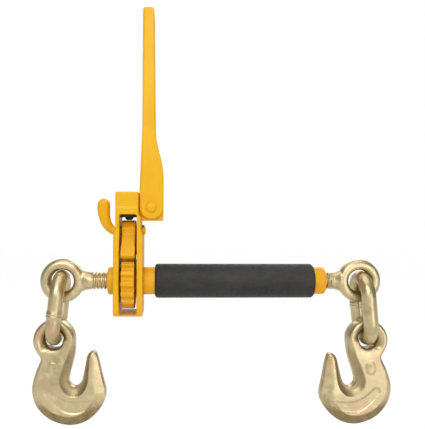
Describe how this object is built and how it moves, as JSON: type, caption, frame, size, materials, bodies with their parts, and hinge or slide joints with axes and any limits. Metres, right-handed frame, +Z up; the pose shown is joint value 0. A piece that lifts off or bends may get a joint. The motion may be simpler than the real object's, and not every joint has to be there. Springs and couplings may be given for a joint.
{
  "type": "ratchet load binder",
  "caption": "Ratchet load binder: a toothed wheel and rocker pawl turn a gripped barrel that draws in two eyebolts with links and grab hooks; the long handle folds down.",
  "frame": {"origin": "middle of the barrel, on its axis, which is the line that the chain pulls along", "axes": "+X along the barrel towards the end without the ratchet, +Z up along the standing handle, +Y away from the viewer across the hooks' flat faces"},
  "size_m": [0.4207, 0.0644, 0.4841],
  "materials": {
    "yellow_paint": "semi-gloss",
    "yellow_chromate": "satin",
    "black_rubber": "matte",
    "dark_steel": "satin"
  },
  "bodies": {
    "ratchet_head": {"ratchet_housing": "yellow_paint", "detent_plug": "yellow_paint", "detent_spring": "dark_steel", "pawl_spring": "dark_steel"},
    "barrel": {"barrel_tube": "yellow_paint", "ratchet_wheel": "yellow_paint", "wheel_pin": "yellow_paint", "grip_sleeve": "black_rubber"},
    "pawl_and_lever": {"pawl": "yellow_paint", "selector_lever": "yellow_paint", "pawl_pin": "dark_steel", "lever_cross_pin": "dark_steel"},
    "plunger": {"pawl_plunger": "dark_steel"},
    "detent": {"detent_plunger": "dark_steel"},
    "handle": {"folding_handle": "yellow_paint", "handle_rivet": "yellow_paint"},
    "left_screw": {"left_eyebolt": "yellow_chromate", "left_stop_pin": "dark_steel"},
    "right_screw": {"right_eyebolt": "yellow_chromate", "right_stop_pin": "dark_steel"},
    "left_chain_link": {"left_link": "yellow_chromate"},
    "right_chain_link": {"right_link": "yellow_chromate"},
    "left_hook": {"left_grab_hook": "yellow_chromate"},
    "right_hook": {"right_grab_hook": "yellow_chromate"}
  },
  "joints": [
    {"name": "barrel_turn", "type": "hinge", "parent": "ratchet_head", "child": "barrel", "pos_m": [0, 0, 0], "axis": [1, 0, 0], "range_deg": [-720, 6840]},
    {"name": "left_screw_slide", "type": "slide", "parent": "ratchet_head", "child": "left_screw", "axis": [-1, 0, 0], "range_m": [-0.0086, 0.0805]},
    {"name": "right_screw_slide", "type": "slide", "parent": "ratchet_head", "child": "right_screw", "axis": [1, 0, 0], "range_m": [-0.0086, 0.0805]},
    {"name": "handle_fold", "type": "hinge", "parent": "ratchet_head", "child": "handle", "pos_m": [-0.0769, 0, 0.0858], "axis": [0, 1, 0], "range_deg": [0, 90]},
    {"name": "pawl_rock", "type": "hinge", "parent": "ratchet_head", "child": "pawl_and_lever", "pos_m": [-0.10285, 0, 0.0585], "axis": [1, 0, 0], "range_deg": [-11, 11]},
    {"name": "plunger_slide", "type": "slide", "parent": "ratchet_head", "child": "plunger", "axis": [0, 0, 1], "range_m": [0, 0.003], "stiffness_N_per_m": 1500, "springref_m": -0.003},
    {"name": "detent_slide", "type": "slide", "parent": "ratchet_head", "child": "detent", "axis": [1, 0, 0], "range_m": [-0.0025, 0], "stiffness_N_per_m": 1500, "springref_m": 0.003},
    {"name": "left_link_swing", "type": "hinge", "parent": "left_screw", "child": "left_chain_link", "pos_m": [-0.18094, 0, 0.00425], "axis": [0, 1, 0], "range_deg": [-15, 95]},
    {"name": "right_link_swing", "type": "hinge", "parent": "right_screw", "child": "right_chain_link", "pos_m": [0.17271, 0, 0.00311], "axis": [0, -1, 0], "range_deg": [-15, 95]},
    {"name": "left_hook_swing", "type": "hinge", "parent": "left_chain_link", "child": "left_hook", "pos_m": [-0.18836, 0, -0.06636], "axis": [0, 1, 0], "range_deg": [-30, 90]},
    {"name": "right_hook_swing", "type": "hinge", "parent": "right_chain_link", "child": "right_hook", "pos_m": [0.1789, 0, -0.06762], "axis": [0, -1, 0], "range_deg": [-30, 90]}
  ],
  "couplings": [
    {"joint": "left_screw_slide", "follows": "barrel_turn", "m_per_rad": 0.00067376},
    {"joint": "right_screw_slide", "follows": "barrel_turn", "m_per_rad": 0.00067376}
  ]
}
